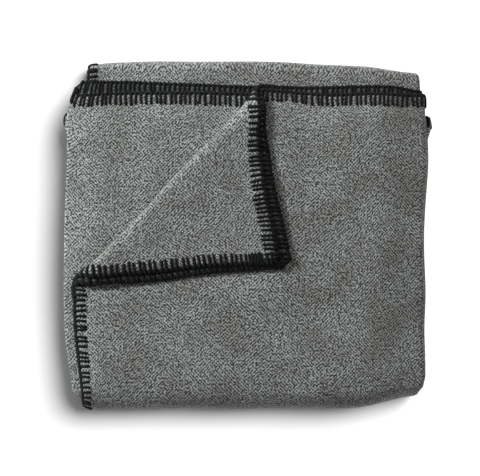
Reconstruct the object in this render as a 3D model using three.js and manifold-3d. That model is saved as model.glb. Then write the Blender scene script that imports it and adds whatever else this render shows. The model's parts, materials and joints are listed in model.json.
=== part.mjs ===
// Camp blanket: a grey wool throw with blanket-stitched edges, quartered twice into a flat pack, with
// the top corner of its two upper plies turned back. Millimetres, +Z up, origin under the pack's middle.
//
// The cloth is folded in four across its width (plies A, D, C, B, joined in that order) and then in four
// along its length (first, fourth, third and second layer, joined in that order). Each layer therefore
// holds four plies in a serpentine, and sixteen plies lie on each other.
import * as THREE from "three";
import { mergeVertices } from "three/addons/utils/BufferGeometryUtils.js";
import Module from "manifold-3d";

const CLOTH = 3.0; // thickness of the wool cloth
const PITCH = 3.4; // from the middle of one ply to the middle of the next
const HALF_WIDTH = 214; // of the pack, across X
const HALF_LENGTH = 207; // of the pack, across Y
const SIDE_HEM_X = -197; // the stitched side hems of plies A and B
const FIRST_HEM_Y = 166; // the stitched end hem of the first layer
const SECOND_HEM_Y = 143; // the stitched end hem of the second layer
const EDGING = 2.5; // width of the yarn that binds a hem
const CLEAR = 0.4; // gap between neighbouring pieces
const ARC_STEPS = 8; // facets of a fold across the width
const FOLD_STEPS = 10; // facets of a fold along the length
const MERGE_WITHIN = 1e-4; // points nearer than this are one point
const CREASE_NEAR = new THREE.Vector2(SIDE_HEM_X, -74); // where the turned corner's crease meets the side hem
const CREASE_FAR = new THREE.Vector2(31, FIRST_HEM_Y); // and where it meets the end hem
const TURN = Math.PI; // how far the corner is turned back from lying flat
const CORNER_TIPS = { a: new THREE.Vector2(48, -35), b: new THREE.Vector2(34.5, -34) };

const PLIES = ["d", "c", "b", "a"]; // from the heart of the pack outwards in the first layer
const OUTER_RADIUS = 1.5 * PITCH; // of the fold that takes A round to D
const INNER_RADIUS = 0.5 * PITCH; // of the folds that take D round to C and C round to B
const RIGHT_AXIS_X = HALF_WIDTH - OUTER_RADIUS - CLOTH / 2;
const LEFT_AXIS_X = -HALF_WIDTH + INNER_RADIUS + CLOTH / 2;
const plyZ = (k) => CLOTH / 2 + k * PITCH; // middle of ply k, counted from the floor
const NEAR_AXIS = { z: plyZ(7.5), y: -HALF_LENGTH + 7.5 * PITCH + CLOTH / 2 };
const FAR_AXIS = { z: plyZ(3.5), y: HALF_LENGTH - 3.5 * PITCH - CLOTH / 2 };
const CREASE_Z = plyZ(15.5);

const wool = new THREE.MeshStandardMaterial({ color: 0x77777a, roughness: 0.95, metalness: 0 });
const yarn = new THREE.MeshStandardMaterial({ color: 0x17171a, roughness: 0.9, metalness: 0 });

const wasm = await Module();
wasm.setup();

const blanket = new THREE.Group();

function addMesh(name, geometry, material, parent = blanket) {
  const mesh = new THREE.Mesh(geometry, material);
  mesh.name = name;
  parent.add(mesh);
  return mesh;
}

// The points of a half circle, with the direction from its centre at each. `side` is +1 for a fold that
// bulges towards +X and -1 for one that bulges towards -X; `rise` is the sense in which it runs in height.
function halfCircle(x, height, radius, side, rise) {
  return Array.from({ length: ARC_STEPS + 1 }, (_, i) => {
    const angle = -Math.PI / 2 + (Math.PI * i) / ARC_STEPS;
    const out = new THREE.Vector2(side * Math.cos(angle), rise * Math.sin(angle));
    return { at: new THREE.Vector2(x, height).addScaledVector(out, radius), out };
  });
}

// Outline of the four joined plies. Ply D lies at height `base`, and the others follow it at one pitch
// each in the sense `up`.
function serpentine(base, up, hemX) {
  const height = (i) => base + up * i * PITCH;
  const outerFold = halfCircle(RIGHT_AXIS_X, height(1.5), OUTER_RADIUS, 1, -up);
  const leftFold = halfCircle(LEFT_AXIS_X, height(0.5), INNER_RADIUS, -1, up);
  const innerFold = halfCircle(RIGHT_AXIS_X, height(1.5), INNER_RADIUS, 1, up);
  const path = [
    { at: new THREE.Vector2(hemX, height(3)), out: new THREE.Vector2(0, up) },
    ...outerFold,
    ...leftFold,
    ...innerFold.map(({ at, out }) => ({ at, out: out.clone().negate() })),
    { at: new THREE.Vector2(hemX, height(2)), out: new THREE.Vector2(0, -up) },
  ];
  const face = path.map(({ at, out }) => at.clone().addScaledVector(out, CLOTH / 2));
  const back = path.map(({ at, out }) => at.clone().addScaledVector(out, -CLOTH / 2));
  return new THREE.Shape([...face, ...back.reverse()]);
}

function rectangle(x0, x1, y0, y1) {
  return new THREE.Shape([
    new THREE.Vector2(x0, y0),
    new THREE.Vector2(x1, y0),
    new THREE.Vector2(x1, y1),
    new THREE.Vector2(x0, y1),
  ]);
}

// A section in X and Z, drawn out along Y.
function along(shape, nearY, farY) {
  const geometry = new THREE.ExtrudeGeometry(shape, { depth: farY - nearY, bevelEnabled: false });
  geometry.rotateX(Math.PI / 2);
  geometry.translate(0, farY, 0);
  return geometry;
}

// A section in X and distance from an axis along X, turned half way round that axis. It bulges towards
// +Y from a far axis and towards -Y from a near one.
function around(shape, axis, towards) {
  const geometry = new THREE.ExtrudeGeometry(shape, {
    depth: Math.PI,
    steps: FOLD_STEPS,
    bevelEnabled: false,
  });
  const position = geometry.attributes.position;
  for (let i = 0; i < position.count; i += 1) {
    const radius = position.getY(i);
    const angle = position.getZ(i);
    position.setY(i, axis.y + towards * radius * Math.sin(angle));
    position.setZ(i, axis.z - towards * radius * Math.cos(angle));
  }
  return geometry;
}

function solidOf(geometry) {
  const bare = geometry.clone();
  bare.deleteAttribute("normal");
  bare.deleteAttribute("uv");
  const merged = mergeVertices(bare, MERGE_WITHIN);
  return new wasm.Manifold(
    new wasm.Mesh({
      numProp: 3,
      vertProperties: Float32Array.from(merged.attributes.position.array),
      triVerts: Uint32Array.from(merged.index.array),
    }),
  );
}

function cutAway(geometry, tool) {
  const mesh = solidOf(geometry).subtract(solidOf(tool)).getMesh();
  const cut = new THREE.BufferGeometry();
  cut.setAttribute("position", new THREE.BufferAttribute(mesh.vertProperties, 3));
  cut.setIndex(new THREE.BufferAttribute(mesh.triVerts, 1));
  cut.computeVertexNormals();
  return cut;
}

// ---- the crease of the turned corner ----
const crease = CREASE_FAR.clone().sub(CREASE_NEAR);
const creaseLength = crease.length();
const creaseAngle = crease.angle();

// In the crease's own frame X runs along it and +Y points to where the corner lies when it is flat.
function inCrease(point) {
  return point.clone().sub(CREASE_NEAR).rotateAround(new THREE.Vector2(), -creaseAngle);
}

// The block of space that holds the turned corner when it is flat: everything beyond the crease, from
// between the first layer's plies C and B to well above the pack.
const BETWEEN_PLIES_C_AND_B = 13.5;
const ABOVE_THE_PACK = 18;
const cornerTool = (() => {
  const reach = 2 * HALF_WIDTH;
  const width = 6 * HALF_WIDTH;
  const bottom = plyZ(BETWEEN_PLIES_C_AND_B);
  const height = plyZ(ABOVE_THE_PACK) - bottom;
  const box = new THREE.BoxGeometry(width, reach, height);
  box.translate(0, reach / 2 - CLEAR, bottom + height / 2);
  box.rotateZ(creaseAngle);
  box.translate(CREASE_NEAR.x, CREASE_NEAR.y, 0);
  return box;
})();

// ---- the four layers ----
const plyEndX = SIDE_HEM_X + EDGING + CLEAR;
const nearEnd = NEAR_AXIS.y + CLEAR;
const farEnd = FAR_AXIS.y - CLEAR;
const LAYERS = [
  { name: "first_layer", plyD: 12, up: 1, farY: FIRST_HEM_Y, hemmed: true },
  { name: "second_layer", plyD: 11, up: -1, farY: SECOND_HEM_Y, hemmed: true },
  { name: "third_layer", plyD: 4, up: 1, farY: farEnd, hemmed: false },
  { name: "fourth_layer", plyD: 3, up: -1, farY: farEnd, hemmed: false },
];
for (const { name, plyD, up, farY, hemmed } of LAYERS) {
  const turned = name === "first_layer";
  const shapeCut = (geometry) => (turned ? cutAway(geometry, cornerTool) : geometry);
  const clothEnd = hemmed ? farY - EDGING - CLEAR : farY;
  const cloth = along(serpentine(plyZ(plyD), up, plyEndX), nearEnd, clothEnd);
  addMesh(name, shapeCut(cloth), wool);
  if (hemmed) {
    const binding = along(serpentine(plyZ(plyD), up, SIDE_HEM_X), farY - EDGING, farY);
    addMesh(`${name}_end_edging`, shapeCut(binding), yarn);
  }
  for (const ply of ["a", "b"]) {
    const middle = plyZ(plyD + up * PLIES.indexOf(ply));
    const section = rectangle(SIDE_HEM_X, SIDE_HEM_X + EDGING, middle - CLOTH / 2, middle + CLOTH / 2);
    const sideEnd = turned ? CREASE_NEAR.y - CLEAR : clothEnd;
    addMesh(`${name}_side_edging_${ply}`, along(section, nearEnd, sideEnd), yarn);
  }
}

// ---- the three folds that join them ----
const FOLDS = [
  { name: "near_outer_fold", axis: NEAR_AXIS, towards: -1, radiusD: 4.5 * PITCH, up: 1 },
  { name: "near_inner_fold", axis: NEAR_AXIS, towards: -1, radiusD: 3.5 * PITCH, up: -1 },
  { name: "far_fold", axis: FAR_AXIS, towards: 1, radiusD: 0.5 * PITCH, up: 1 },
];
for (const { name, axis, towards, radiusD, up } of FOLDS) {
  addMesh(name, around(serpentine(radiusD, up, plyEndX), axis, towards), wool);
  for (const ply of ["a", "b"]) {
    const radius = radiusD + up * PLIES.indexOf(ply) * PITCH;
    const section = rectangle(SIDE_HEM_X, SIDE_HEM_X + EDGING, radius - CLOTH / 2, radius + CLOTH / 2);
    addMesh(`${name}_side_edging_${ply}`, around(section, axis, towards), yarn);
  }
}

// ---- the turned corner ----
const creaseFrame = new THREE.Group();
creaseFrame.position.set(CREASE_NEAR.x, CREASE_NEAR.y, CREASE_Z);
creaseFrame.rotation.z = creaseAngle;
blanket.add(creaseFrame);

const ROLLS = { crease_roll_inner: 0.5 * PITCH, crease_roll_outer: 1.5 * PITCH };
for (const [name, radius] of Object.entries(ROLLS)) {
  const section = rectangle(CLOTH, creaseLength - CLOTH, radius - CLOTH / 2, radius + CLOTH / 2);
  addMesh(name, around(section, { y: 0, z: 0 }, 1), wool, creaseFrame);
}

// The corner is laid out flat, beyond the crease, and its group turns it back over.
const corner = new THREE.Group();
corner.rotation.x = TURN;
creaseFrame.add(corner);

// The point where the line through p along d meets the line through q along e.
function meeting(p, d, q, e) {
  const gap = q.clone().sub(p);
  return p.clone().addScaledVector(d, gap.cross(e) / d.cross(e));
}

// Near end, tip and far end of a corner's two hems, each moved inwards by `inset`.
function hemLine(tip, inset) {
  const near = new THREE.Vector2(0, 0);
  const far = new THREE.Vector2(creaseLength, 0);
  const sideHem = tip.clone().sub(near).normalize();
  const endHem = far.clone().sub(tip).normalize();
  const inwards = (hem) => new THREE.Vector2(hem.y, -hem.x).multiplyScalar(inset);
  const onSide = near.clone().add(inwards(sideHem));
  const onEnd = tip.clone().add(inwards(endHem));
  const start = new THREE.Vector2(0, CLEAR);
  const creaseway = new THREE.Vector2(1, 0);
  return [
    meeting(start, creaseway, onSide, sideHem),
    meeting(onSide, sideHem, onEnd, endHem),
    meeting(start, creaseway, onEnd, endHem),
  ];
}

function flatPiece(points, middle) {
  const geometry = new THREE.ExtrudeGeometry(new THREE.Shape(points), {
    depth: CLOTH,
    bevelEnabled: false,
  });
  geometry.translate(0, 0, middle - CLOTH / 2);
  return geometry;
}

const CORNER_MIDDLES = { a: -0.5 * PITCH, b: -1.5 * PITCH };
for (const [ply, middle] of Object.entries(CORNER_MIDDLES)) {
  const turnedTip = inCrease(CORNER_TIPS[ply]);
  const tip = new THREE.Vector2(turnedTip.x, -turnedTip.y);
  const outer = hemLine(tip, 0);
  const inner = hemLine(tip, EDGING);
  const clothEdge = hemLine(tip, EDGING + CLEAR);
  addMesh(`corner_ply_${ply}`, flatPiece(clothEdge, middle), wool, corner);
  addMesh(`corner_edging_${ply}`, flatPiece([...outer, ...inner.reverse()], middle), yarn, corner);
}

export default blanket;
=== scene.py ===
"""Camp blanket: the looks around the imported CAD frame.

The cloth is one sheet. A point of it is given by s, its distance across the sheet from the side hem of
ply A, by t, its distance along the sheet from the end hem of the first layer, and by its lift above the
sheet's middle towards the face. fold() carries such points into the folded pack, so the cloth and every
stitch that is sewn through it are made flat and folded by the same rule. Lengths are in millimetres
until a mesh is written.
"""

import json
import math

import bmesh
import bpy
import numpy as np
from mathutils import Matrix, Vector


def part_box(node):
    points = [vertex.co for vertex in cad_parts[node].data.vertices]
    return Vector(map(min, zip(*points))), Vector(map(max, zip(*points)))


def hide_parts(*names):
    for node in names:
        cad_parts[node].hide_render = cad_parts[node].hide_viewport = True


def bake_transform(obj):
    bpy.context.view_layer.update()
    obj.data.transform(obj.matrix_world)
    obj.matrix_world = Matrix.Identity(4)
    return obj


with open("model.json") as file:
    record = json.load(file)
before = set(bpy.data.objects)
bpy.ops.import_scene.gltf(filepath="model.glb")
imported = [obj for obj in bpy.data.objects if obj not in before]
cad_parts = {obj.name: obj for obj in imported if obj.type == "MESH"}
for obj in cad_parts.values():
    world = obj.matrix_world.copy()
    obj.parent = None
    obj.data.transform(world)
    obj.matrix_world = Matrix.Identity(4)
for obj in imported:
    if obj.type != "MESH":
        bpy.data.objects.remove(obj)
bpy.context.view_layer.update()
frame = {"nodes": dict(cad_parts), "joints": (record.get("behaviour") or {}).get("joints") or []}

MM = 0.001
CLOTH = 3.0  # thickness of the wool
PITCH = 3.4  # from the middle of one ply to the next
BITE = 11.5  # how far in from the hem a stitch enters the cloth
DEEPER_BITE = 2.0  # and how much further on the first end hem, past the turned corner
BAND = 14.0  # width of the cloth along a hem that the stitches shape
DEPTHS = np.array([0.0, 0.7, 2.2, 4.6, 7.2, 9.6, 11.8, BAND])  # its rows, in from the hem
STITCH = 5.8  # spacing of the stitches along a hem
FLOOR_GAP = 0.2  # the least height of the cloth over the floor
EASE = 60.0  # length of cloth over which one way of lying gives over to the next


def low(node):
    return np.array(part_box(node)[0]) / MM


def high(node):
    return np.array(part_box(node)[1]) / MM


def ply_z(k):
    """Height of the middle of ply k, counted from the floor."""
    return CLOTH / 2 + k * PITCH


# ---- the frame's driving sizes ----
LEFT, NEAR = low("fourth_layer")[0], low("near_outer_fold")[1]
RIGHT, FAR = high("fourth_layer")[0], high("far_fold")[1]
SIDE_HEM_X = low("fourth_layer_side_edging_a")[0]
FIRST_HEM_Y = high("first_layer_end_edging")[1]
SECOND_HEM_Y = high("second_layer_end_edging")[1]
RIGHT_AXIS = RIGHT - 1.5 * PITCH - CLOTH / 2
LEFT_AXIS = LEFT + 0.5 * PITCH + CLOTH / 2
NEAR_AXIS = NEAR + 7.5 * PITCH + CLOTH / 2
FAR_AXIS = FAR - 3.5 * PITCH - CLOTH / 2
JOINTS = {joint["name"]: joint for joint in frame["joints"]}


def smooth(x):
    """0 below 0, 1 above 1, and a smooth rise between."""
    x = np.clip(x, 0, 1)
    return x * x * (3 - 2 * x)


def rise(value, start, end):
    """0 up to start, 1 from end on, and a smooth rise between."""
    return smooth((value - start) / (end - start))


# ---- the folding of the sheet ----
class FoldPath:
    """A side view of a folded strip: straight runs joined by half turns."""

    def __init__(self, start, heading):
        self.at = np.array(start, float)
        self.heading = heading
        self.length = 0.0
        self.pieces = []

    def _left(self, heading):
        return np.stack([-np.sin(heading), np.cos(heading)], axis=-1)

    def run(self, length):
        self.pieces.append((self.length, length, self.at, self.heading, 0.0))
        self.at = self.at + length * np.array([math.cos(self.heading), math.sin(self.heading)])
        self.length += length
        return self

    def turn(self, radius, side):
        """A half turn, to the left for side +1 and to the right for -1."""
        self.pieces.append((self.length, math.pi * radius, self.at, self.heading, side * radius))
        self.at = self.at + 2 * side * radius * self._left(self.heading)
        self.heading += side * math.pi
        self.length += math.pi * radius
        return self

    def place(self, distance):
        """The point at each distance along the path, and the direction to the left of it."""
        at = np.zeros(distance.shape + (2,))
        heading = np.zeros(distance.shape)
        last = len(self.pieces) - 1
        for i, (start, length, p, h, bend) in enumerate(self.pieces):
            here = ((distance >= start) | (i == 0)) & ((distance < start + length) | (i == last))
            gone = distance[here] - start
            if bend:
                heading[here] = h + gone / bend
                at[here] = p + bend * self._left(h) - bend * self._left(heading[here])
            else:
                heading[here] = h
                at[here] = p + gone[:, None] * np.array([math.cos(h), math.sin(h)])
        return at, self._left(heading)

    def marks(self, step, turn_steps):
        """Distances at which a grid follows the path: even ones on the runs and finer ones on the turns."""
        out = [0.0]
        for start, length, _, _, bend in self.pieces:
            steps = turn_steps(abs(bend)) if bend else max(1, round(length / step))
            out += [start + length * (i + 1) / steps for i in range(steps)]
        return np.array(out)


HEM_RUN = RIGHT_AXIS - SIDE_HEM_X
INNER_RUN = RIGHT_AXIS - LEFT_AXIS
across = FoldPath((SIDE_HEM_X, 3 * PITCH), 0.0)
across.run(HEM_RUN).turn(1.5 * PITCH, -1).run(INNER_RUN).turn(0.5 * PITCH, -1)
across.run(INNER_RUN).turn(0.5 * PITCH, 1).run(HEM_RUN)
FIRST_RUN = FIRST_HEM_Y - NEAR_AXIS
LONG_RUN = FAR_AXIS - NEAR_AXIS
along = FoldPath((FIRST_HEM_Y, ply_z(13.5)), math.pi)
along.run(FIRST_RUN).turn(6 * PITCH, 1).run(LONG_RUN).turn(2 * PITCH, 1)
along.run(LONG_RUN).turn(2 * PITCH, -1).run(SECOND_HEM_Y - NEAR_AXIS)
WIDTH, LENGTH = across.length, along.length
FAR_TURN = along.pieces[3][0] + along.pieces[3][1] / 2  # the middle of the far fold
FAR_TURN_REACH = 130.0  # how far from there the cloth moves with it

# Where plies A, D, C and B begin and end across the sheet, at the middle of each turn.
PLY_EDGES = [p[0] + p[1] / 2 for p in across.pieces if p[4]]

# ---- the turned corner ----
crease_axis = np.array(JOINTS["corner_turn"]["axis"][:2], float)
CREASE_ALONG = -crease_axis / np.linalg.norm(crease_axis)  # from the side hem to the end hem
CREASE_BEYOND = np.array([-CREASE_ALONG[1], CREASE_ALONG[0]])  # towards where the corner lies when flat
crease_middle = np.array(JOINTS["corner_turn"]["pos_m"]) / MM
CREASE_Z = crease_middle[2]
CREASE_HALF = (crease_middle[0] - SIDE_HEM_X) / CREASE_ALONG[0]
CREASE_NEAR = crease_middle[:2] - CREASE_HALF * CREASE_ALONG
PRESSED = {"a": 0.5 * PITCH, "b": 1.5 * PITCH}  # radius of each ply's roll if it were pressed flat
LOFT_UP = 1.8  # how much more the soft roll stands up than a pressed one
LOFT_OUT = 3.0  # how much more it bulges sideways
LOFT_END = 7.0  # and how much more again at the two hems, which bend less than plain cloth
LOFT_END_REACH = 38.0  # how far in from the hems that is felt
SETTLING = 55.0  # how far past the roll the turned corner comes down to its own height
TIP_NODE = {"a": "corner_edging_a", "b": "corner_edging_b"}
TIP_RISE = {"a": 33.5, "b": 37.0}  # of the tip above the lowest point of the corner's hems
BOW = 7.5  # how far the end hem of the turned corner bows in
SIDE_BOW = {"a": 3.5, "b": 5.5}  # and its side hem
BOW_REACH = 110.0  # how far from its hem a bow is felt
BOW_START = 30.0  # how far past the roll it is felt in full
TURNED_EASE = 70.0  # how far beyond the crease the unevenness of the flat plies is gone
ROUNDING = 8.0  # radius of the blanket's own four corners
OVERHANG_SAG = 6.0  # how far the first layer's open end drops
SWAY = 1.6  # how far the layers wander in the plane
SWELLING = 1.7  # height of the long waves of the top
RUMPLING = 0.6  # and of its short ones


def crease_frame(xy):
    """Distance along the crease from the side hem, and distance beyond it."""
    off = xy - CREASE_NEAR
    return off @ CREASE_ALONG, off @ CREASE_BEYOND


def crease_reach(hem_kind):
    """How far along a side or end hem from the sheet's corner the crease crosses it."""
    side = FIRST_HEM_Y - CREASE_NEAR[1]
    return side if hem_kind == "side" else side * CREASE_ALONG[0] / CREASE_ALONG[1]


# How far the first layer's end hem lies beyond the frame's, for points spread across the sheet: the
# four plies were not laid quite even.
HEM_OFFSETS = {
    0: -1.5,
    crease_reach("end") + 8: 2.5,
    crease_reach("end") + 70: -1.5,
    PLY_EDGES[0] - 30: -1.5,
    PLY_EDGES[0] + 8: 1,
    PLY_EDGES[0] + 26: 8,
    PLY_EDGES[1] - 190: 9,
    PLY_EDGES[1] - 5: 17,
    PLY_EDGES[1] + 7: 0,
    PLY_EDGES[2] - 40: -1,
    PLY_EDGES[2] + 30: 8.5,
    WIDTH: 8.5,
}


def roll_out(ply, u):
    """Radius of a ply's roll sideways, at a distance along the crease."""
    from_end = np.minimum(u, 2 * CREASE_HALF - u)
    return PRESSED[ply] + LOFT_OUT + LOFT_END * np.exp(-((np.maximum(from_end, 0) / LOFT_END_REACH) ** 2))


def roll_length(ply, u):
    """Length of cloth that goes round a ply's roll."""
    return math.pi * (roll_out(ply, u) + PRESSED[ply] + LOFT_UP) / 2


def tip_shift(ply):
    """How the turned corner is pulled along the crease and towards it, for each millimetre that a point
    lies from the crease, so that its tip lies where the frame has it."""
    x, y = high(TIP_NODE[ply])[0], low(TIP_NODE[ply])[1]
    want_u, want_v = crease_frame(np.array([x, y + TIP_RISE[ply]]))
    u, v = crease_frame(np.array([SIDE_HEM_X, FIRST_HEM_Y]))
    reach = v - roll_length(ply, u)
    return (want_u - u) / reach, -want_v / reach


def ply_of(s):
    """Which of the plies A, D, C and B each point is in, as 0 to 3."""
    return np.searchsorted(PLY_EDGES, s)


def turn_corner(position, s, t, ply, lift):
    """Rolls plies A and B of the first layer over the crease, and lays the rest of the corner back."""
    up = 1 if ply == "a" else -1
    u, v = crease_frame(position[:, :2])
    length = roll_length(ply, u)
    turned = np.clip(v / length, 0, 1) * math.pi
    reach = np.maximum(v - length, 0)
    shear, scale = TIP_SHIFTS[ply]
    out = np.where(v < 0, v, (roll_out(ply, u) - up * lift) * np.sin(turned) - reach * scale)
    xy = CREASE_NEAR + (u + shear * reach)[:, None] * CREASE_ALONG + out[:, None] * CREASE_BEYOND
    stand = PRESSED[ply] + LOFT_UP - up * lift
    rolled_z = CREASE_Z + LOFT_UP - stand * np.cos(turned) - 2 * LOFT_UP * smooth(reach / SETTLING)
    from_side_hem = np.minimum(s, WIDTH - s)
    past_roll = smooth(reach / BOW_START)
    end_arch = np.sin(math.pi * np.clip(from_side_hem / crease_reach("end"), 0, 1) ** 1.5)
    xy[:, 0] -= BOW * end_arch * (1 - smooth(t / BOW_REACH)) * past_roll
    side_arch = np.sin(math.pi * np.clip(t / crease_reach("side"), 0, 1))
    xy[:, 1] += SIDE_BOW[ply] * side_arch * (1 - smooth(from_side_hem / BOW_REACH)) * past_roll
    return np.column_stack([xy, np.where(v < 0, position[:, 2], rolled_z)])


class Waves:
    """A smooth random surface made of a few sine waves, the same on each run."""

    def __init__(self, seed, longest, shortest, count=14):
        rng = np.random.default_rng(seed)
        lengths = shortest * (longest / shortest) ** rng.random(count)
        angles = rng.random(count) * 2 * math.pi
        self.k = (2 * math.pi / lengths)[:, None] * np.stack([np.cos(angles), np.sin(angles)], 1)
        self.phase = rng.random(count) * 2 * math.pi
        self.size = lengths / lengths.sum()

    def __call__(self, xy):
        return np.sin(xy @ self.k.T + self.phase) @ self.size * 2


SWAY_X, SWAY_Y = Waves(3, 260, 70), Waves(5, 260, 70)
SWELL, RUMPLE = Waves(8, 240, 90), Waves(13, 70, 34)


def settle(position, first_layer, far_turn, inner_plies, second_hem):
    """The soft shape of the whole pack: rounded corners, a slight crown and shallow rumples. The last four
    values say how far each point belongs to the first layer, to the far fold, to plies C and D, and to the
    second layer's end hem, which peeps out at both sides."""
    x, y, z = position.T
    right, left = rise(x, 90, RIGHT), rise(-x, 150, -LEFT)
    near, far = rise(-y, 70, -NEAR), rise(y, 95, FAR)

    # How far the right and the left side lie towards +X of where the frame has them.
    right_side = -(9 - 6 * first_layer) * far - 3 * near - 3 * first_layer
    right_side = right_side - 7 * rise(-y, -90, 0) - 9 * rise(-y, 160, 205) + 6 * second_hem
    left_side = 13 * rise(-y, 90, 205) + 2 * inner_plies + 10 * inner_plies * rise(-y, 178, 206)
    left_side = left_side + 12 * rise(y, 125, 190) ** 2 - 3 * second_hem
    left_side = left_side + 12 * inner_plies * (1 - first_layer) * rise(y, 140, 180)
    dx = right * right_side + left * left_side + SWAY * SWAY_X(np.column_stack([x, y + 0.8 * z]))

    # The near folds are squeezed about their own middle, so that they still turn on the joint's axis.
    in_fold = np.clip((NEAR_AXIS - y) / (NEAR_AXIS - NEAR), 0, 1)
    near_side = in_fold * (6.5 * (1 - left) + 13 * left**2 + 11 * right**2)
    corners = 4 * right**2 * near - (9 - 7 * first_layer) * right**2 * far
    far_side = (5.5 - 5 * left**2 - 3.5 * rise(x, 40, 130)) * far_turn
    dy = near_side + corners + far_side + SWAY * SWAY_Y(np.column_stack([x + 0.8 * z, y]))

    # Heights change in step with the height itself, which near the hinge is counted from the hinge.
    by_hinge = rise(-y, 100, 170)
    over_hinge = np.maximum(z - ply_z(7.5), 0) / ply_z(7.5)
    top = (1 - by_hinge) * z / ply_z(15) + by_hinge * over_hinge
    rim = np.maximum(rise(np.abs(x), 120, RIGHT), rise(np.abs(y), 110, FAR))
    under_corner = (1 - rise(x, 22, 77)) * rise(y, -105, -50)
    at_side_hem = rise(-x, -SIDE_HEM_X - 6, -SIDE_HEM_X + 12)
    crown = 3.2 * under_corner - 0.6 - 6.2 * rim**2 - 5 * rise(x, 120, RIGHT) ** 2 - 2.6 * at_side_hem
    dz = top * (crown + SWELLING * SWELL(position[:, :2]) + RUMPLING * RUMPLE(position[:, :2]))
    dz = dz - first_layer * OVERHANG_SAG * rise(y, 132, 168)
    return position + np.column_stack([dx, dy, dz])


def rounded(s, t):
    """Points of the square-cornered sheet, moved so that its corners are round."""
    a = np.clip(1 - np.minimum(s, WIDTH - s) / ROUNDING, 0, 1.3)
    b = np.clip(1 - np.minimum(t, LENGTH - t) / ROUNDING, 0, 1.3)
    in_s = ROUNDING * a * (1 - np.sqrt(1 - b**2 / 2))
    in_t = ROUNDING * b * (1 - np.sqrt(1 - a**2 / 2))
    return np.where(s < WIDTH / 2, s + in_s, s - in_s), np.where(t < LENGTH / 2, t + in_t, t - in_t)


def fold(s, t, lift):
    """Carries points of the flat sheet into the folded pack."""
    s, t = rounded(s, t)
    plan, out = across.place(s)
    side, side_left = along.place(t)
    x, h = plan[:, 0], plan[:, 1] - 1.5 * PITCH
    position = np.column_stack([x, side - h[:, None] * side_left])
    normal = np.column_stack([out[:, 0], -out[:, 1, None] * side_left])
    position += lift[:, None] * normal
    turned_back = np.zeros(len(s))
    for ply, index in (("a", 0), ("b", 3)):
        here = (t < FIRST_RUN) & (ply_of(s) == index)
        _, v = crease_frame(position[here][:, :2])
        turned_back[here] = smooth(v / TURNED_EASE)
        position[here] = turn_corner(position[here], s[here], t[here], ply, lift[here])
    uneven = np.interp(s, list(HEM_OFFSETS), list(HEM_OFFSETS.values()))
    position[:, 1] += uneven * smooth(1 - t / (0.8 * FIRST_RUN)) * (1 - turned_back)
    first_layer = smooth((FIRST_RUN - t) / EASE)
    far_turn = smooth(1 - np.abs(t - FAR_TURN) / FAR_TURN_REACH)
    inner_plies = smooth((s - PLY_EDGES[0]) / EASE) * smooth((PLY_EDGES[2] - s) / EASE)
    second_hem = rise(t, LENGTH - 30, LENGTH - 16)
    settled = settle(position, first_layer, far_turn, inner_plies, second_hem)
    settled[:, 2] = np.maximum(settled[:, 2], FLOOR_GAP)
    return settled


TIP_SHIFTS = {ply: tip_shift(ply) for ply in "ab"}


def upper_share(_, t):
    """How far each point follows the upper half: fully in its two layers, and less and less round the
    near folds."""
    starts = [p[0] for p in along.pieces] + [LENGTH]
    return np.interp(t, starts, [1, 1, 0, 0, 0, 0, 1, 1])


def corner_share(s, t):
    """How far each point follows the turned corner: not at all at the crease, fully past the roll."""
    in_a = s < WIDTH / 2
    x = SIDE_HEM_X + np.where(in_a, s, WIDTH - s)
    u, v = crease_frame(np.column_stack([x, FIRST_HEM_Y - t]))
    return np.clip(v / np.where(in_a, roll_length("a", u), roll_length("b", u)), 0, 1)


# ---- meshes ----
WIDE_CELL = 13.5  # of the sheet's grid away from its hems and folds
ROLL_CUTS = 12  # rows of the sheet across a roll
BLUNT = 2.2  # how far in from its edge the cloth is rounded off
PUFF = 0.8  # how much thicker the cloth is between stitches, as a share
PINCH = 0.25  # and how much thinner along the whole row of stitches
EDGE_LEFT = 0.06  # share of the squared thickness that is left at the very edge
CORNER_CELL = 6.0  # longest cell of the turned corner that isn't split once more


def write_piece(name, points, faces, uvs, side, material, share):
    """Its UV layers are the flat sheet's own metres, and 0 on the sheet's right side or 1 on its wrong side."""
    mesh = bpy.data.meshes.new(name)
    mesh.from_pydata(np.column_stack([0 * share, 0 * share, share]), [], faces)
    corners = np.empty(len(mesh.loops), np.int32)
    mesh.loops.foreach_get("vertex_index", corners)
    for layer_name, values in (("flat", uvs * MM), ("side", np.column_stack([side, side]))):
        layer = mesh.uv_layers.new(name=layer_name)
        layer.data.foreach_set("uv", values[corners].ravel())
    mesh.materials.append(material)
    piece = bpy.data.objects.new(name, mesh)
    bpy.context.scene.collection.objects.link(piece)
    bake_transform(piece)
    mesh.vertices.foreach_set("co", (points * MM).astype(np.float32).ravel())
    mesh.shade_smooth()
    mesh.update()
    return piece


def between(marks, low_end, high_end):
    """The two ends, and the marks between that aren't almost on them."""
    inside = marks[(marks > low_end + 0.6) & (marks < high_end - 0.6)]
    return np.concatenate([[low_end], inside, [high_end]])


def hem_marks(hem, coarse):
    """Marks along a hem: the sheet's own, each stitch and each puff between, and twice as many where the
    hem is in the first layer."""
    stitches = hem.stitches
    count = len(stitches)
    fine = np.interp(np.arange(4 * count) / 4, np.arange(count), stitches)
    on_show = (fine < FIRST_RUN) | (hem.name == "first_end")
    fine = fine[on_show | (np.arange(4 * count) % 2 == 0)]
    own = fine[np.min(np.abs(fine[:, None] - coarse), axis=1) > 0.5]
    return np.sort(np.concatenate([own, coarse]))


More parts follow.
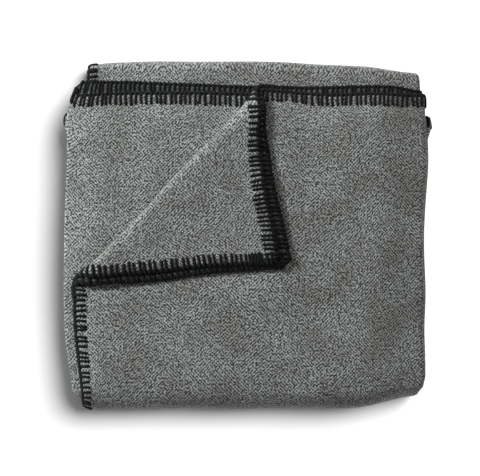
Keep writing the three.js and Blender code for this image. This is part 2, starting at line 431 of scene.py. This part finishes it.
def flat_sheet(hems):
    """The whole sheet as a flat grid: wide cells in the middle, and close ones along the hems, where the
    stitches pull the cloth into puffs. The cells where the two meet take the close marks on that side."""
    across_marks = across.marks(WIDE_CELL, lambda radius: 8 if radius > PITCH else 6)
    along_marks = along.marks(WIDE_CELL, lambda radius: 14 if radius > 3 * PITCH else 10)
    coarse_s = between(across_marks, BAND, WIDTH - BAND)
    coarse_t = between(along_marks, BAND, LENGTH - BAND)
    marks = {}
    for name, hem in hems.items():
        coarse = coarse_t if name.startswith("side") else coarse_s
        marks[name] = between(hem_marks(hem, coarse), BAND, hem.length - BAND)
    sheet = bmesh.new()
    made = {}

    def vert(s, t):
        key = (round(s, 4), round(t, 4))
        if key not in made:
            made[key] = sheet.verts.new((s, t, 0))
        return made[key]

    def fill(s_marks, t_marks):
        for t0, t1 in zip(t_marks, t_marks[1:]):
            for s0, s1 in zip(s_marks, s_marks[1:]):
                sheet.faces.new([vert(s0, t0), vert(s1, t0), vert(s1, t1), vert(s0, t1)])

    def close_marks(hem_name, low_end, high_end):
        line = marks[hem_name]
        return line[(line > low_end + 1e-4) & (line < high_end - 1e-4)]

    s_starts, t_starts = DEPTHS, DEPTHS
    s_ends, t_ends = WIDTH - DEPTHS[::-1], LENGTH - DEPTHS[::-1]
    for s_marks in (s_starts, s_ends):
        fill(s_marks, t_starts)
        fill(s_marks, t_ends)
    fill(s_starts, marks["side_a"])
    fill(s_ends, marks["side_b"])
    fill(marks["first_end"], t_starts)
    fill(marks["second_end"], t_ends)
    for t0, t1 in zip(coarse_t, coarse_t[1:]):
        for s0, s1 in zip(coarse_s, coarse_s[1:]):
            ring = [(s0, t0)]
            if t0 == coarse_t[0]:
                ring += [(s, t0) for s in close_marks("first_end", s0, s1)]
            ring.append((s1, t0))
            if s1 == coarse_s[-1]:
                ring += [(s1, t) for t in close_marks("side_b", t0, t1)]
            ring.append((s1, t1))
            if t1 == coarse_t[-1]:
                ring += [(s, t1) for s in close_marks("second_end", s0, s1)[::-1]]
            ring.append((s0, t1))
            if s0 == coarse_s[0]:
                ring += [(s0, t) for t in close_marks("side_a", t0, t1)[::-1]]
            sheet.faces.new([vert(*point) for point in ring])
    return sheet


def crease_cut(ply, beyond=0.0):
    """A point on the crease's line in the flat sheet, moved beyond it, and the line's normal."""
    point = CREASE_NEAR + beyond * CREASE_BEYOND
    x = point[0] - SIDE_HEM_X
    normal = np.array([CREASE_BEYOND[0], -CREASE_BEYOND[1], 0])
    if ply == "b":
        x = WIDTH - x
        normal[0] = -normal[0]
    return (x, FIRST_HEM_Y - point[1], 0), normal


def cut_sheet(sheet, ply, beyond=0.0):
    """Cuts the faces of ply A's or ply B's side of the sheet along a line that runs with the crease."""
    point, normal = crease_cut(ply, beyond)
    faces = [f for f in sheet.faces if (f.calc_center_median().x < WIDTH / 2) == (ply == "a")]
    edges = list(dict.fromkeys(e for f in faces for e in f.edges))
    verts = list(dict.fromkeys(v for f in faces for v in f.verts))
    bmesh.ops.bisect_plane(sheet, geom=faces + edges + verts, dist=1e-4, plane_co=point, plane_no=normal)


def in_corner(face):
    """Whether a face of the flat sheet is in the turned corner."""
    centre = face.calc_center_median()
    if centre.y > FIRST_RUN:
        return False
    x = SIDE_HEM_X + min(centre.x, WIDTH - centre.x)
    in_hem_ply = centre.x < PLY_EDGES[0] or centre.x > PLY_EDGES[2]
    _, v = crease_frame(np.array([x, FIRST_HEM_Y - centre.y]))
    return in_hem_ply and v > 0


def hem_shape(hems, s, t):
    """Half the cloth's thickness at points of the sheet: rounded off at the edge, drawn in under each
    stitch and puffed out between stitches."""
    edge = np.minimum(np.minimum(s, WIDTH - s), np.minimum(t, LENGTH - t))
    bluntness = 1 - np.clip(edge / BLUNT, 0, 1)
    half = CLOTH / 2 * np.sqrt(np.clip(1 - bluntness**2, EDGE_LEFT, 1))
    spans = {"side_a": (s, t), "side_b": (WIDTH - s, t), "first_end": (t, s), "second_end": (LENGTH - t, s)}
    for name, (depth, gone) in spans.items():
        count = len(hems[name].stitches)
        stitch = np.interp(gone, hems[name].stitches, np.arange(count))
        between_stitches = 0.5 - 0.5 * np.cos(2 * math.pi * stitch)
        sewn = rise(depth, 0, 3) * (1 - rise(depth, BITE - 3.5, BITE + 1.5))
        half = half * (1 + sewn * (PUFF * between_stitches**0.7 - PINCH))
    return half


def two_sided(sheet, hems):
    """Points, faces and flat coordinates of the sheet with its thickness."""
    sheet.verts.ensure_lookup_table()
    sheet.verts.index_update()
    flat = np.array([v.co[:2] for v in sheet.verts])
    half = hem_shape(hems, *flat.T)
    count = len(flat)
    faces = []
    for face in sheet.faces:
        ring = [v.index for v in face.verts]
        faces.append(ring[::-1])
        faces.append([i + count for i in ring])
    for edge in sheet.edges:
        if len(edge.link_faces) == 1:
            loop = edge.link_loops[0]
            a, b = loop.vert.index, loop.link_loop_next.vert.index
            faces.append([a, b, b + count, a + count])
    both = np.concatenate([flat, flat])
    lift = np.concatenate([half, -half])
    return both, lift, faces


def make_cloth(material, hems):
    """The folded sheet without its turned corner, and the corner."""
    sheet = flat_sheet(hems)
    for ply in "ab":
        cut_sheet(sheet, ply)
    main, corner = sheet, sheet.copy()
    bmesh.ops.delete(main, geom=[f for f in main.faces if in_corner(f)], context="FACES")
    bmesh.ops.delete(corner, geom=[f for f in corner.faces if not in_corner(f)], context="FACES")
    wide = [e for e in corner.edges if e.calc_length() > CORNER_CELL]
    bmesh.ops.subdivide_edges(corner, edges=wide, cuts=1, use_grid_fill=True)
    for ply in "ab":
        for i in range(1, ROLL_CUTS + 1):
            cut_sheet(corner, ply, roll_length(ply, 0) * i / ROLL_CUTS)
    pieces = []
    for name, part, bodies, share in (
        ("blanket_cloth", main, ("lower_half", "upper_half"), upper_share),
        ("blanket_corner_cloth", corner, ("upper_half", "turned_corner"), corner_share),
    ):
        flat, lift, faces = two_sided(part, hems)
        points = fold(*flat.T, lift)
        wrong_side = (lift < 0) * 1.0
        pieces.append(write_piece(name, points, faces, flat, wrong_side, material, share(*flat.T)))
        part.free()
    return pieces


# ---- stitches ----
YARN = 1.6  # radius of the yarn
PURL = 2.6  # radius of the row of loops along the edge
SEWN_IN = (16.0, 31.0)  # where on side_b the yarn is finished off, with stitches close together
SEWN_IN_STITCH = 2.3  # their spacing
TUBE_SIDES = 6
LEG_PROFILE = np.array(  # depth in from the hem, as a share of the bite, and lift in half thicknesses
    [(1.0, 0.35), (0.97, 0.95), (0.85, 1.34), (0.5, 1.42), (0.16, 1.36), (-0.02, 1.1), (-0.11, 0.0)]
)


def ring_offsets(first, second, radius):
    """Offsets of a tube's ring points, from two directions square to the tube and to each other."""
    angles = np.arange(TUBE_SIDES) * 2 * math.pi / TUBE_SIDES
    return (
        first[..., None, :] * np.cos(angles)[:, None] + second[..., None, :] * np.sin(angles)[:, None]
    ) * radius[..., None, None]


def tubes(paths, side_axis, radius):
    """Closed tubes along many paths of the same number of points. side_axis is a direction that no path
    runs along. Gives points, faces and flat coordinates along and round each tube."""
    count, steps, _ = paths.shape
    tangent = np.gradient(paths, axis=1)
    tangent /= np.linalg.norm(tangent, axis=-1, keepdims=True)
    first = np.cross(tangent, side_axis)
    first /= np.linalg.norm(first, axis=-1, keepdims=True)
    second = np.cross(tangent, first)
    rings = paths[:, :, None, :] + ring_offsets(first, second, radius)
    steps_along = np.linalg.norm(np.diff(paths, axis=1), axis=-1)
    gone = np.concatenate([np.zeros((count, 1)), np.cumsum(steps_along, 1)], 1)
    round_it = np.arange(TUBE_SIDES) / TUBE_SIDES * 2 * math.pi * YARN
    uv = np.stack(np.broadcast_arrays(gone[:, :, None], round_it), -1)
    index = np.arange(count * steps * TUBE_SIDES).reshape(count, steps, TUBE_SIDES)
    onwards = np.roll(index, -1, axis=2)
    quads = np.stack([index[:, :-1], onwards[:, :-1], onwards[:, 1:], index[:, 1:]], -1).reshape(-1, 4)
    ends = np.concatenate([index[:, 0, ::-1], index[:, -1]])
    return rings.reshape(-1, 3), quads.tolist() + ends.tolist(), uv.reshape(-1, 2)


class Hem:
    """One hem of the sheet: where its stitches go and which way is in from it."""

    def __init__(self, name, seed, start, direction, inwards, length):
        self.name = name
        self.start, self.direction = np.array(start, float), np.array(direction, float)
        self.inwards = np.array(inwards, float)
        self.length = length
        self.rng = np.random.default_rng(seed)
        count = int((length - STITCH) / STITCH)
        # Evenly spread, with the first and last a little in from the corners, then each a little off.
        even = (np.arange(count) + 0.75) * (length / (count + 0.5))
        self.stitches = even + self.rng.uniform(-0.16, 0.16, count) * STITCH
        if name == "side_b":
            spaced = self.stitches[(self.stitches < SEWN_IN[0] - 2) | (self.stitches > SEWN_IN[1] + 2)]
            self.stitches = np.sort(np.append(spaced, np.arange(*SEWN_IN, SEWN_IN_STITCH)))

    def points(self, gone, depth, lift):
        """Points of the sheet from distances along the hem and in from it."""
        flat = self.start + gone[..., None] * self.direction + depth[..., None] * self.inwards
        return np.concatenate([flat, lift[..., None]], -1)

    def legs(self, gone):
        """The U of yarn of each stitch, from its hole on the face round the edge to its hole at the back.
        Hand work varies, so each has its own bite, slant and thickness."""
        count = len(gone)
        past_corner = rise(gone, crease_reach("end") + 12, crease_reach("end") + 62)
        deeper = DEEPER_BITE * past_corner if self.name == "first_end" else 0.0
        bite = (BITE + deeper) * (1 + self.rng.uniform(-0.1, 0.1, count))
        slant = self.rng.normal(0.2, 0.55, count)
        shares, lifts = LEG_PROFILE.T
        shares = np.concatenate([shares, shares[-2::-1]])
        lifts = np.concatenate([lifts, -lifts[-2::-1]])
        depth = bite[:, None] * shares
        sideways = gone[:, None] + slant[:, None] * shares + 0.25 * np.sign(lifts)
        half = CLOTH / 2 * np.broadcast_to(lifts, depth.shape)
        paths = self.points(sideways, depth, half)
        radius = YARN * (1 + self.rng.uniform(-0.08, 0.12, (count, 1))) * np.ones(depth.shape)
        radius[:, [0, -1]] *= 0.7
        return tubes(paths, np.append(self.direction, 0), radius)

    def purl(self, gone):
        """The row of loops along the edge between the first and last of these stitches. It is thickest
        at each stitch, and winds in and out and up and down between them."""
        per_stitch = 6
        ends = np.concatenate([[gone[0] - STITCH * 0.6], gone, [gone[-1] + STITCH * 0.6]])
        stops = np.linspace(0, len(ends) - 1, (len(ends) - 1) * per_stitch + 1)
        at = np.interp(stops, np.arange(len(ends)), ends)
        phase = 2 * math.pi * stops
        knot = 0.5 + 0.5 * np.cos(phase)
        depth = -0.55 - 0.35 * knot + 0.2 * np.sin(phase)
        lift = 0.45 * np.sin(phase) + 0.35 * np.sin(0.37 * phase)
        radius = PURL * (0.86 + 0.3 * knot)
        return tubes(self.points(at, depth, lift)[None], np.array([0.0, 0.0, 1.0]), radius[None])


def make_yarn(name, parts, material, share):
    """Joins the tubes of some stitches into one piece and folds them with the cloth."""
    points, faces, uvs, start = [], [], [], 0
    for part_points, part_faces, part_uvs in parts:
        points.append(part_points)
        faces += [[i + start for i in face] for face in part_faces]
        uvs.append(part_uvs)
        start += len(part_points)
    flat = np.concatenate(points)
    uvs = np.concatenate(uvs)
    right_side = np.zeros(len(flat))
    return write_piece(name, fold(*flat.T), faces, uvs, right_side, material, share(*flat[:, :2].T))


def make_hems():
    return {
        hem.name: hem
        for hem in (
            Hem("side_a", 41, (0, 0), (0, 1), (1, 0), LENGTH),
            Hem("side_b", 42, (WIDTH, 0), (0, 1), (-1, 0), LENGTH),
            Hem("first_end", 43, (0, 0), (1, 0), (0, 1), WIDTH),
            Hem("second_end", 44, (0, LENGTH), (1, 0), (0, -1), WIDTH),
        )
    }


def make_edging(material, hems):
    """The yarn of each hem, with what is on the turned corner as pieces of its own."""
    side_cut, end_cut = crease_reach("side"), crease_reach("end")
    corners = {"a": [], "b": []}
    pieces = {}
    for name, hem in hems.items():
        gone = hem.stitches
        here = np.zeros(len(gone), int)
        if name.startswith("side"):
            here[gone < side_cut] = 1 if name == "side_a" else 2
        elif name == "first_end":
            here[gone < end_cut] = 1
            here[gone > WIDTH - end_cut] = 2
        for group, ply in ((1, "a"), (2, "b")):
            if (here == group).any():
                corners[ply] += [hem.legs(gone[here == group]), hem.purl(gone[here == group])]
        rest = gone[here == 0]
        parts = [hem.legs(rest), hem.purl(rest)]
        bodies = ("lower_half", "upper_half")
        pieces[name] = make_yarn(f"yarn_{name}", parts, material, upper_share)
    for ply, parts in corners.items():
        name, bodies = f"corner_{ply}", ("upper_half", "turned_corner")
        pieces[name] = make_yarn(f"yarn_{name}", parts, material, corner_share)
    return pieces


# ---- materials ----
# Lengths in materials are in metres, and noise scales are per metre of the flat sheet.
RIB = 0.0041  # from one stripe of the twill to the next, measured across or along the sheet
STRAND_TWIST = 0.0026  # length of one turn of the yarn's two strands


class Nodes:
    """Short names for building a material's node tree."""

    def __init__(self, name):
        self.material = bpy.data.materials.new(name)
        self.material.use_nodes = True
        self.tree = self.material.node_tree
        self.shader = self.tree.nodes["Principled BSDF"]

    def add(self, kind, settings=None, **inputs):
        node = self.tree.nodes.new(kind)
        for key, value in (settings or {}).items():
            setattr(node, key, value)
        for key, value in inputs.items():
            socket = node.inputs[int(key[1:])] if key[0] == "i" and key[1:].isdigit() else node.inputs[key]
            self.put(value, socket)
        return node

    def put(self, value, socket):
        if isinstance(value, bpy.types.NodeSocket):
            self.tree.links.new(value, socket)
        else:
            socket.default_value = value

    def math(self, operation, *values):
        inputs = {f"i{i}": value for i, value in enumerate(values)}
        return self.add("ShaderNodeMath", {"operation": operation}, **inputs).outputs[0]

    def remap(self, value, low_in, high_in, low_out, high_out):
        node = self.add(
            "ShaderNodeMapRange",
            {"interpolation_type": "SMOOTHSTEP"},
            Value=value,
            i1=low_in,
            i2=high_in,
            i3=low_out,
            i4=high_out,
        )
        return node.outputs[0]

    def noise(self, vector, scale, detail=2.0, roughness=0.5):
        node = self.add("ShaderNodeTexNoise", Vector=vector, Scale=scale, Detail=detail, Roughness=roughness)
        return node.outputs["Fac"]

    def mix(self, share, a, b):
        node = self.add("ShaderNodeMix", {"data_type": "RGBA"})
        self.put(share, node.inputs["Factor"])
        self.put(a, node.inputs[6])
        self.put(b, node.inputs[7])
        return node.outputs[2]

    def uv(self, name="flat"):
        return self.add("ShaderNodeUVMap", {"uv_map": name}).outputs[0]

    def split(self, vector):
        return self.add("ShaderNodeSeparateXYZ", Vector=vector).outputs


def grey(value, warmth=0.0):
    """A grey, with a slight warm or, below 0, blue cast."""
    return (value * (1 + warmth), value, value * (1 - warmth), 1)


def wool_grey(value):
    """The wool's greys lean very slightly to green."""
    return (value * 0.965, value, value * 0.98, 1)


def painted_hem_shade(n, u, v):
    """How far the wool is darkened between the stitches near the hems on the sheet's wrong side: painted shade
    for the strips that lie in the shadow of the hem above them, and partly the black yarn's fuzz.
    """
    depth = n.math("MINIMUM", n.math("MINIMUM", u, n.math("SUBTRACT", WIDTH * MM, u)), v)
    depth = n.math("MINIMUM", depth, n.math("SUBTRACT", LENGTH * MM, v))
    wrong_side = n.split(n.uv("side"))[0]
    band = n.remap(depth, (BITE - 2) * MM, BITE * MM, 1.0, 0.0)
    return n.math("MULTIPLY", n.math("MULTIPLY", band, wrong_side), 0.85)


def wool_cloth():
    """Broken twill of light and charcoal wool, with the yarns' own flecks and a brushed, hairy surface."""
    n = Nodes("wool_cloth")
    flat = n.uv()
    # The ribs follow coordinates that wobble a little, so that they aren't ruled lines.
    wobble = n.add("ShaderNodeTexNoise", Vector=flat, Scale=260.0, Detail=2.0).outputs["Color"]
    centred = n.add("ShaderNodeVectorMath", {"operation": "SUBTRACT"}, i0=wobble, i1=(0.5, 0.5, 0.5))
    shift = n.add("ShaderNodeVectorMath", {"operation": "SCALE"}, i0=centred.outputs[0], Scale=0.0006)
    moved = n.add("ShaderNodeVectorMath", {"operation": "ADD"}, i0=flat, i1=shift.outputs[0]).outputs[0]
    u, v, _ = n.split(moved)
    rising = n.math("SINE", n.math("MULTIPLY", n.math("SUBTRACT", v, u), 2 * math.pi / RIB))
    falling = n.math("SINE", n.math("MULTIPLY", n.math("ADD", v, u), 2 * math.pi / RIB))
    # Patches where one slant of the twill shows more than the other.
    broken = n.remap(n.noise(flat, 22.0, 2.0, 0.5), 0.36, 0.64, 0.2, 0.8)
    rising = n.math("MULTIPLY", rising, broken)
    falling = n.math("MULTIPLY", falling, n.math("SUBTRACT", 1.0, broken))
    wave = n.math("ADD", rising, falling)
    twill = n.remap(wave, -0.4, 0.4, 0.0, 1.0)
    flecks = n.remap(n.noise(flat, 460.0, 2.0, 0.6), 0.3, 0.7, 0.0, 1.0)
    heather = n.noise(flat, 190.0, 3.0, 0.6)
    # Brushing hides the twill in small spots.
    brushed = n.remap(n.noise(flat, 210.0, 1.0, 0.5), 0.35, 0.65, 0.3, 1.1)
    twill = n.math("ADD", n.math("MULTIPLY", n.math("SUBTRACT", twill, 0.5), brushed), 0.5)
    # How much of the light yarn shows, from charcoal at 0 to light grey at 1.
    share = n.math("ADD", n.math("MULTIPLY", twill, 0.46), n.math("MULTIPLY", flecks, 0.76))
    share = n.math("ADD", share, n.math("MULTIPLY", n.math("SUBTRACT", heather, 0.5), 0.7))
    share = n.remap(share, 0.34, 0.92, 0.0, 1.0)
    colour = n.mix(share, wool_grey(0.014), wool_grey(0.33))
    # Broad, faint blotches, and painted shade along the hems on the sheet's wrong side, where they lie in the
    # shadow of the hem above.
    blotch = n.noise(flat, 24.0, 3.0, 0.55)
    blotches_and_shade = n.mix(n.remap(blotch, 0.35, 0.65, 0.0, 1.0), grey(0.78, 0.03), grey(1.1, -0.01))
    u, v, _ = n.split(flat)
    # The dark grey mixed in here is painted shade on the hem strips of the sheet's wrong side.
    blotches_and_shade = n.mix(painted_hem_shade(n, u, v), blotches_and_shade, grey(0.2, -0.03))
    tint = n.add("ShaderNodeMix", {"data_type": "RGBA", "blend_type": "MULTIPLY"})
    n.put(1.0, tint.inputs["Factor"])
    n.put(colour, tint.inputs[6])
    n.put(blotches_and_shade, tint.inputs[7])
    n.put(tint.outputs[2], n.shader.inputs["Base Color"])
    height = n.math("ADD", n.math("MULTIPLY", twill, 0.5), n.math("MULTIPLY", flecks, 0.9))
    height = n.math("ADD", height, n.math("MULTIPLY", heather, 0.8))
    bump = n.add("ShaderNodeBump", Height=height, Distance=0.0007, Strength=0.75)
    n.put(bump.outputs[0], n.shader.inputs["Normal"])
    n.shader.inputs["Roughness"].default_value = 0.95
    n.shader.inputs["Specular IOR Level"].default_value = 0.15
    n.shader.inputs["Sheen Weight"].default_value = 0.25
    n.shader.inputs["Sheen Roughness"].default_value = 0.6
    return n.material


def edging_yarn():
    """Near-black wool yarn of two strands twisted together."""
    n = Nodes("edging_yarn")
    flat = n.uv()
    u, v, _ = n.split(flat)
    turn = n.math("ADD", n.math("DIVIDE", u, STRAND_TWIST), n.math("DIVIDE", v, 2 * math.pi * YARN * MM))
    strand = n.math("ABSOLUTE", n.math("SINE", n.math("MULTIPLY", turn, math.pi)))
    fuzz = n.noise(flat, 1500.0, 3.0, 0.7)
    height = n.math("ADD", strand, n.math("MULTIPLY", fuzz, 0.7))
    bump = n.add("ShaderNodeBump", Height=height, Distance=0.0006, Strength=0.8)
    n.put(bump.outputs[0], n.shader.inputs["Normal"])
    share = n.math("MULTIPLY", n.remap(strand, 0.1, 1.0, 0.0, 0.6), n.remap(fuzz, 0.3, 0.7, 0.3, 1.0))
    n.put(n.mix(share, grey(0.0028, -0.1), grey(0.014, -0.12)), n.shader.inputs["Base Color"])
    n.shader.inputs["Roughness"].default_value = 0.85
    n.shader.inputs["Specular IOR Level"].default_value = 0.12
    n.shader.inputs["Sheen Weight"].default_value = 0.03
    return n.material


def floor_material():
    n = Nodes("studio_floor")
    n.shader.inputs["Base Color"].default_value = (0.93, 0.93, 0.93, 1)
    n.shader.inputs["Roughness"].default_value = 0.9
    n.shader.inputs["Specular IOR Level"].default_value = 0.0
    return n.material


# ---- studio ----
FLOOR_DROP = 0.0005  # in metres, how far the floor is under the frame's own, so that nothing touches it


def make_floor():
    bpy.ops.mesh.primitive_plane_add(size=40)
    floor = bpy.context.active_object
    floor.name = "studio_floor"
    floor.location = (0, 0, -FLOOR_DROP)
    floor.data.materials.append(floor_material())
    return floor


def aim(obj, target):
    offset = Vector(target) - obj.location
    obj.rotation_euler = offset.to_track_quat("-Z", "Y").to_euler()


def area_light(name, place, target, size, power, colour, lit):
    """A soft lamp that lights only what is in the collection `lit`."""
    data = bpy.data.lights.new(name, "AREA")
    data.size = size
    data.energy = power
    data.color = colour
    light = bpy.data.objects.new(name, data)
    light.location = place
    bpy.context.scene.collection.objects.link(light)
    light.light_linking.receiver_collection = lit
    aim(light, target)


def floor_sun(direction, angle, strength, lit):
    """An even, very soft light on the floor alone, which makes the pack's shadow."""
    data = bpy.data.lights.new("floor_sun", "SUN")
    data.angle = angle
    data.energy = strength
    light = bpy.data.objects.new("floor_sun", data)
    light.location = direction
    bpy.context.scene.collection.objects.link(light)
    light.light_linking.receiver_collection = lit
    aim(light, (0, 0, 0))


def make_studio():
    """Plain white surroundings, soft lamps on the blanket and a soft sun on the floor. Gives the collection
    of what the lamps light."""
    scene = bpy.context.scene
    scene.view_settings.view_transform = "Standard"
    world = bpy.data.worlds.new("studio")
    world.use_nodes = True
    world.node_tree.nodes["Background"].inputs[0].default_value = (1, 1, 1, 1)
    world.node_tree.nodes["Background"].inputs[1].default_value = 0.22
    scene.world = world
    middle = (0, 0, 0.03)
    on_blanket, on_floor = bpy.data.collections.new("lit_blanket"), bpy.data.collections.new("lit_floor")
    area_light("key", (-1.9, 0.9, 1.15), middle, 0.65, 100, (0.95, 0.99, 1.0), on_blanket)
    area_light("fill", (0.8, 0.9, 1.1), middle, 0.5, 5, (1.0, 0.94, 0.84), on_blanket)
    floor_sun((0.72, 0.46, 1.0), math.radians(46), 4.5, on_floor)
    on_floor.objects.link(make_floor())
    return on_blanket


def make_camera():
    """The camera looks from nearly straight above, from the near side."""
    elevation, distance, frame_width = math.radians(82), 1.6, 0.552
    target = np.array([-8.6, -6.4, 54.0]) * MM  # the middle of the picture, near the pack's top
    data = bpy.data.cameras.new("camera")
    data.sensor_width = 36
    data.lens = data.sensor_width * distance / frame_width
    data.clip_start, data.clip_end = 0.05, 20
    camera = bpy.data.objects.new("camera", data)
    back = np.array([0, -math.cos(elevation), math.sin(elevation)])
    camera.location = target + back * distance
    bpy.context.scene.collection.objects.link(camera)
    aim(camera, target)
    bpy.context.scene.camera = camera


# ---- the blanket ----
def nodes_named(*endings):
    """The frame's nodes whose names end in one of these."""
    return [name for name in frame["nodes"] if name.endswith(endings)]


make_camera()
lit_blanket = make_studio()
wool, yarn = wool_cloth(), edging_yarn()

hems = make_hems()
cloth, corner_cloth = make_cloth(wool, hems)
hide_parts(*nodes_named("_layer", "_fold"))
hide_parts("crease_roll_inner", "crease_roll_outer", "corner_ply_a", "corner_ply_b")

edging = make_edging(yarn, hems)
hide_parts(*nodes_named("_side_edging_a"))
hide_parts(*nodes_named("_side_edging_b"))
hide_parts("first_layer_end_edging")
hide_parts("second_layer_end_edging")
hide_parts("corner_edging_a")
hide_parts("corner_edging_b")

for piece in (cloth, corner_cloth, *edging.values()):
    lit_blanket.objects.link(piece)
